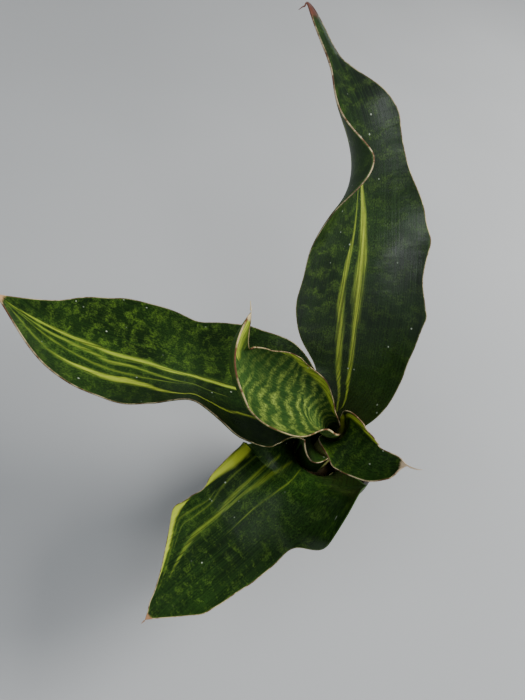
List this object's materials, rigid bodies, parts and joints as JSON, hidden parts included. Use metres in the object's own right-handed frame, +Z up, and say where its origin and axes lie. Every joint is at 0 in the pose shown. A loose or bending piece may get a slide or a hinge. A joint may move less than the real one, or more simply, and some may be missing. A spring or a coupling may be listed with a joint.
{
  "type": "potted snake plant",
  "caption": "Small potted snake plant: broad, glossy, mottled green leaves with yellow streaks around a cupped young centre leaf, in a plain tapered nursery pot.",
  "frame": {"origin": "centre of the pot's flat bottom, on the surface it stands on", "axes": "+Z up along the pot's axis; -X the side that the long low leaf leans to; +Y the side that the tall leaf leans to"},
  "size_m": [0.2376, 0.2855, 0.2745],
  "materials": {
    "pot": "matte",
    "potting_mix": "matte",
    "rhizome": "satin",
    "leaf": "gloss",
    "young_leaf": "gloss"
  },
  "bodies": {
    "root": {"pot": "pot", "potting_mix": "potting_mix", "rhizome": "rhizome", "lower_leaf": "leaf", "upper_leaf": "leaf", "left_leaf": "leaf", "right_leaf": "leaf", "centre_leaf": "young_leaf"}
  },
  "joints": []
}
